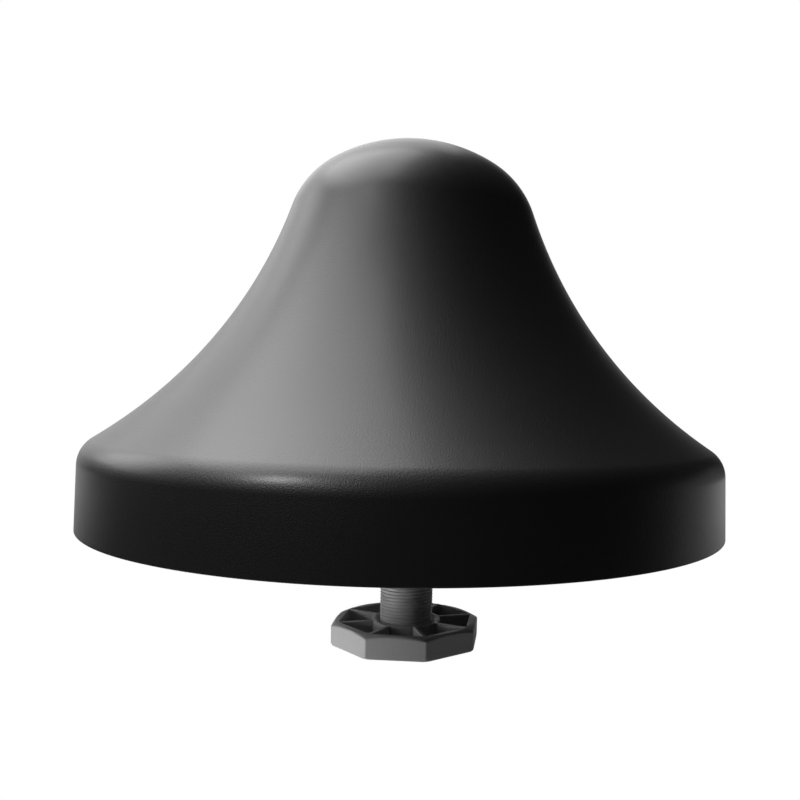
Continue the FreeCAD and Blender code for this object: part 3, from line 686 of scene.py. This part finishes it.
def moulded_plastic(name, rgb, roughness, grain, relief, unevenness, ior, coat=0.0):
    """Moulded plastic: a grain of a given size in tone and relief, and slow changes of gloss.

    The coat is the thin skin of resin over the grain, which gives highlights their sharper core.
    """
    material, tree, place, surface = new_material(name)
    fine = add_node(tree, "ShaderNodeTexNoise", {"Scale": 1 / grain, "Detail": 0.5, "Roughness": 0.5},
                    {"Vector": place}).outputs["Fac"]
    slow = add_node(tree, "ShaderNodeTexNoise", {"Scale": 1 / GLOSS_PATCH, "Detail": 2.0},
                    {"Vector": place}).outputs["Fac"]
    wire_finish(tree, surface, rgb, (fine, *PLASTIC_TONES),
                (slow, roughness - unevenness, roughness + unevenness), relief)
    uniform = {"IOR": ior, "Coat Weight": coat, "Coat Roughness": COAT_ROUGHNESS, "Coat IOR": ior}
    for socket, value in uniform.items():
        surface.inputs[socket].default_value = value
    return material


def let_light_in(material, share, depth):
    """Let a share of the light scatter inside a pale plastic, to about a given depth."""
    surface = next(node for node in material.node_tree.nodes if node.type == "BSDF_PRINCIPLED")
    surface.inputs["Subsurface Weight"].default_value = share
    surface.inputs["Subsurface Scale"].default_value = depth
    return material


def black_abs():
    """Black ABS, moulded in a spark-eroded tool: satin, with a fine even grain that sparkles in highlights.

    The real grain is finer. It is drawn at 0.34 mm, as coarse as it needs to show in the render.
    """
    return moulded_plastic("Black ABS, spark-eroded grain", chosen("colours").black_abs, 0.46, 0.34 * MM,
                           0.045 * MM, 0.03, 1.52, coat=0.24)


def base_abs():
    """Black ABS with a coarser, more matt grain, as on a face that lies against the board."""
    return moulded_plastic("Black ABS, matt grain", chosen("colours").base_abs, 0.6, 0.8 * MM, 0.03 * MM,
                           0.04, 1.52)


def grey_nylon(piece):
    """Grey nylon, moulded in a polished tool: dull gloss, even colour, faint unevenness."""
    return moulded_plastic(f"Grey nylon, {piece}", chosen("colours").grey_nylon, 0.5, 0.5 * MM, 0.008 * MM,
                           0.04, 1.53)


def metal(name, rgb, roughness, spread, stretch, relief, rings=False):
    """Bare metal: streaks of a given scale along X, Y and Z, or rings round the axis.

    For rings the pattern is read at (height, 0, distance from the axis) instead of at (x, y, z).
    """
    material, tree, place, surface = new_material(name)
    if rings:
        parts = add_node(tree, "ShaderNodeSeparateXYZ", links={"Vector": place}).outputs
        flat = add_node(tree, "ShaderNodeCombineXYZ", links={"X": parts["X"], "Y": parts["Y"]})
        reach = add_node(tree, "ShaderNodeVectorMath", links={0: flat.outputs["Vector"]}, operation="LENGTH")
        place = add_node(tree, "ShaderNodeCombineXYZ",
                         links={"X": parts["Z"], "Z": reach.outputs["Value"]}).outputs["Vector"]
    lie = add_node(tree, "ShaderNodeMapping", {"Scale": stretch}, {"Vector": place})
    streaks = add_node(tree, "ShaderNodeTexNoise", {"Scale": 1.0, "Detail": 3.0},
                       {"Vector": lie.outputs["Vector"]}).outputs["Fac"]
    wire_finish(tree, surface, rgb, (streaks, *METAL_TONES),
                (streaks, roughness - spread, roughness + spread), relief)
    surface.inputs["Metallic"].default_value = 1
    return material


def rolled_aluminium():
    """Aluminium sheet as rolled: soft grey shine with faint streaks 0.3 mm apart along the rolling."""
    return metal("Aluminium sheet, mill finish", chosen("colours").aluminium, 0.38, 0.07, (60, 3300, 3300),
                 0.004 * MM)


def spun_aluminium():
    """Spun aluminium: fine rings 0.4 mm apart left by the spinning tool round the axis."""
    return metal("Aluminium, spun", chosen("colours").aluminium, 0.32, 0.08, (2500, 1, 2500), 0.01 * MM,
                 rings=True)


def rivet_aluminium():
    """Rivet aluminium: plain drawn wire, headed cold, with a soft even shine."""
    return metal("Aluminium, rivet wire", chosen("colours").rivet, 0.35, 0.05, (900, 900, 900), 0.003 * MM)


def turned_brass():
    """Turned brass: yellow metal with tool marks 0.15 mm apart round the axis."""
    return metal("Brass, turned", chosen("colours").brass, 0.25, 0.06, (6600, 1, 6600), 0.004 * MM,
                 rings=True)


def zinc_plate():
    """Zinc-plated steel: thin bluish plate, slightly cloudy."""
    return metal("Steel, zinc plated", chosen("colours").zinc, 0.3, 0.08, (1400, 1400, 1400), 0.002 * MM)


def turned_ptfe():
    """Turned PTFE: waxy white, soft edges, light goes a little way in."""
    plain = moulded_plastic("PTFE, turned", chosen("colours").ptfe, 0.45, 0.25 * MM, 0.003 * MM, 0.03, 1.38)
    return let_light_in(plain, 0.3, 1.5 * MM)


def natural_nylon():
    """Natural nylon: creamy, slightly see-through, dull gloss."""
    plain = moulded_plastic("Nylon, natural", chosen("colours").natural_nylon, 0.42, 0.6 * MM, 0.005 * MM,
                            0.04, 1.53)
    return let_light_in(plain, 0.25, 1.0 * MM)


# Stage

# The white backdrop lies in this direction, behind the antenna. Reflections see it within the cone whose
# cosine is BACKDROP_EDGE, and fully white from BACKDROP_FULL on.
BACKDROP = (-0.173, 0.981, 0.087)
BACKDROP_EDGE = 0.74
BACKDROP_FULL = 0.98

FLOOR_GREY = (0.35, 0.35, 0.35, 1)
# Share of even white in the floor under the object, and the distances from the axis between which it grows
# to 1
FLOOR_WHITE = 0.7
SHADOW_FADE = (0.5, 0.75)
# Distances behind the axis between which reflections begin to see the floor as white
FLOOR_BEHIND = (1.0, 4.0)

# Height aimed at on the axis, bearing and rise in degrees, distance, width and height
SOFTBOXES = {
    "key": (0.04, -110, 65, 1.0, 0.95, 0.8),
    "back": (0.04, -147, 43, 1.0, 1.3, 0.9),
    "side": (0.04, -111, 24, 1.0, 0.5, 0.45),
    "front": (0.04, -45, 35, 0.6, 0.08, 0.14),
    "low": (-0.035, -64, -6, 0.085, 0.05, 0.07),
    "rim": (0.04, 115, -10, 0.7, 0.5, 0.5),
}


def white_rays(tree, mask):
    """1 for camera rays, and the mask for glossy and transmission rays."""
    rays = add_node(tree, "ShaderNodeLightPath").outputs
    seen = add_node(tree, "ShaderNodeMath", links={0: rays["Is Glossy Ray"], 1: rays["Is Transmission Ray"]},
                    operation="MAXIMUM")
    masked = add_node(tree, "ShaderNodeMath", links={0: seen.outputs[0], 1: mask}, operation="MULTIPLY")
    white = add_node(tree, "ShaderNodeMath", links={0: rays["Is Camera Ray"], 1: masked.outputs[0]},
                     operation="MAXIMUM")
    return white.outputs[0]


def light_room():
    """White backdrop for the eye and for reflections on its own side, and elsewhere a studio's dim light."""
    world = bpy.data.worlds.new("studio")
    bpy.context.scene.world = world
    world.use_nodes = True
    tree = world.node_tree
    tree.nodes.clear()
    towards = add_node(tree, "ShaderNodeTexCoord").outputs["Generated"]
    aligned = add_node(tree, "ShaderNodeVectorMath", {1: BACKDROP}, {0: towards}, operation="DOT_PRODUCT")
    backdrop = add_node(tree, "ShaderNodeMapRange", {"From Min": BACKDROP_EDGE, "From Max": BACKDROP_FULL},
                        {"Value": aligned.outputs["Value"]}, interpolation_type="SMOOTHSTEP")
    white = white_rays(tree, backdrop.outputs["Result"])
    level = add_node(tree, "ShaderNodeMapRange", {"To Min": chosen("stage").room, "To Max": 1.0},
                     {"Value": white})
    light = add_node(tree, "ShaderNodeBackground", {"Color": (1, 1, 1, 1)},
                     {"Strength": level.outputs["Result"]})
    add_node(tree, "ShaderNodeOutputWorld", links={"Surface": light.outputs["Background"]})


def floor_material():
    """Matt white floor that the eye sees almost evenly lit, so that it keeps a faint shadow."""
    material, tree, place, surface = new_material("White studio floor")
    for socket, value in {"Base Color": FLOOR_GREY, "Roughness": 0.9, "Specular IOR Level": 0.0}.items():
        surface.inputs[socket].default_value = value
    glow = add_node(tree, "ShaderNodeEmission", {"Color": (1, 1, 1, 1), "Strength": 1.0})
    reach = add_node(tree, "ShaderNodeVectorMath", links={0: place}, operation="LENGTH")
    near, far = SHADOW_FADE
    clear = add_node(tree, "ShaderNodeMapRange",
                     {"From Min": near, "From Max": far, "To Min": FLOOR_WHITE, "To Max": 1.0},
                     {"Value": reach.outputs["Value"]}, interpolation_type="SMOOTHSTEP")
    parts = add_node(tree, "ShaderNodeSeparateXYZ", links={"Vector": place})
    near, far = FLOOR_BEHIND
    behind = add_node(tree, "ShaderNodeMapRange", {"From Min": near, "From Max": far},
                      {"Value": parts.outputs["Y"]}, interpolation_type="SMOOTHSTEP")
    white = white_rays(tree, behind.outputs["Result"])
    share = add_node(tree, "ShaderNodeMath", links={0: white, 1: clear.outputs["Result"]},
                     operation="MULTIPLY")
    both = add_node(tree, "ShaderNodeMixShader", links={
        0: share.outputs[0], 1: surface.outputs["BSDF"], 2: glow.outputs["Emission"],
    })
    output = next(node for node in tree.nodes if node.type == "OUTPUT_MATERIAL")
    tree.links.new(both.outputs[0], output.inputs["Surface"])
    return material


def add_softbox(name, target, bearing, rise, distance, width, height, watts):
    """A rectangular lamp that faces a height on the axis.

    It stands at a bearing, counted from the front towards +X, and at a rise over the horizon, in degrees.
    """
    turn, lift = math.radians(bearing), math.radians(rise)
    away = Vector((math.cos(lift) * math.sin(turn), -math.cos(lift) * math.cos(turn), math.sin(lift)))
    light = bpy.data.lights.new(name, "AREA")
    light.shape, light.size, light.size_y, light.energy = "RECTANGLE", width, height, watts
    lamp = bpy.data.objects.new(name, light)
    bpy.context.scene.collection.objects.link(lamp)
    lamp.location = Vector((0, 0, target)) + away * distance
    lamp.rotation_euler = (-away).to_track_quat("-Z", "Y").to_euler()
    lamp.visible_camera = False


def add_camera():
    """The photograph's camera: pitched down, turned a little to the right and rolled clockwise."""
    stage = chosen("stage")
    data = bpy.data.cameras.new("camera")
    data.sensor_width, data.lens = 36, stage.lens
    data.shift_x, data.shift_y = stage.shift_x, stage.shift_y
    data.clip_start, data.clip_end = 0.01, 50
    camera = bpy.data.objects.new("camera", data)
    bpy.context.scene.collection.objects.link(camera)
    camera.location = (0, stage.camera_y, stage.camera_z)
    aim = Euler((math.pi / 2 - stage.pitch, 0, -stage.yaw), "XYZ").to_matrix()
    camera.rotation_euler = (aim @ Euler((0, 0, stage.roll), "XYZ").to_matrix()).to_euler()
    bpy.context.scene.camera = camera


class ANTENNA_OT_stage(bpy.types.Operator):
    """Camera, white floor, backdrop and lamps"""

    bl_idname = "antenna.stage"
    bl_label = "Stage"

    def execute(self, context):
        stage = chosen("stage")
        half, drop = stage.floor_size / 2, -stage.floor_drop
        mesh = bpy.data.meshes.new("floor")
        corners = [(-half, -half, drop), (half, -half, drop), (half, half, drop), (-half, half, drop)]
        mesh.from_pydata(corners, [], [(0, 1, 2, 3)])
        mesh.materials.append(floor_material())
        floor = bpy.data.objects.new("floor", mesh)
        context.scene.collection.objects.link(floor)
        light_room()
        for name, place in SOFTBOXES.items():
            add_softbox(f"{name}_softbox", *place, getattr(stage, name))
        add_camera()
        context.scene.view_settings.view_transform = "Standard"
        return {"FINISHED"}


class ANTENNA_PT_panel(bpy.types.Panel):
    """Lists the antenna's pieces and its stage"""

    bl_idname = "ANTENNA_PT_panel"
    bl_label = "Dome Ceiling Antenna"
    bl_space_type = "VIEW_3D"
    bl_region_type = "UI"
    bl_category = "Antenna"

    def draw(self, context):
        for operator in OPERATORS:
            self.layout.operator(operator.bl_idname)


GROUPS = {
    "antenna_bell": BellSizes,
    "antenna_stud": StudSizes,
    "antenna_nut": NutSizes,
    "antenna_colours": Colours,
    "antenna_stage": StageSettings,
}
OPERATORS = (
    ANTENNA_OT_radome,
    ANTENNA_OT_base_plate,
    ANTENNA_OT_stud,
    ANTENNA_OT_nut,
    ANTENNA_OT_metalwork,
    ANTENNA_OT_stage,
)


def register():
    """Register the classes, and hang the groups of settings on the scene."""
    for item in (*GROUPS.values(), *OPERATORS, ANTENNA_PT_panel):
        bpy.utils.register_class(item)
    for name, group in GROUPS.items():
        setattr(bpy.types.Scene, name, PointerProperty(type=group))


def unregister():
    """Take the groups of settings and the classes away again."""
    for name in GROUPS:
        delattr(bpy.types.Scene, name)
    for item in reversed((*GROUPS.values(), *OPERATORS, ANTENNA_PT_panel)):
        bpy.utils.unregister_class(item)


def main():
    """Build every piece and the stage."""
    register()
    bpy.ops.antenna.radome()
    bpy.ops.antenna.base_plate()
    bpy.ops.antenna.stud()
    bpy.ops.antenna.nut()
    bpy.ops.antenna.metalwork()
    bpy.ops.antenna.stage()


if __name__ == "__main__":
    main()
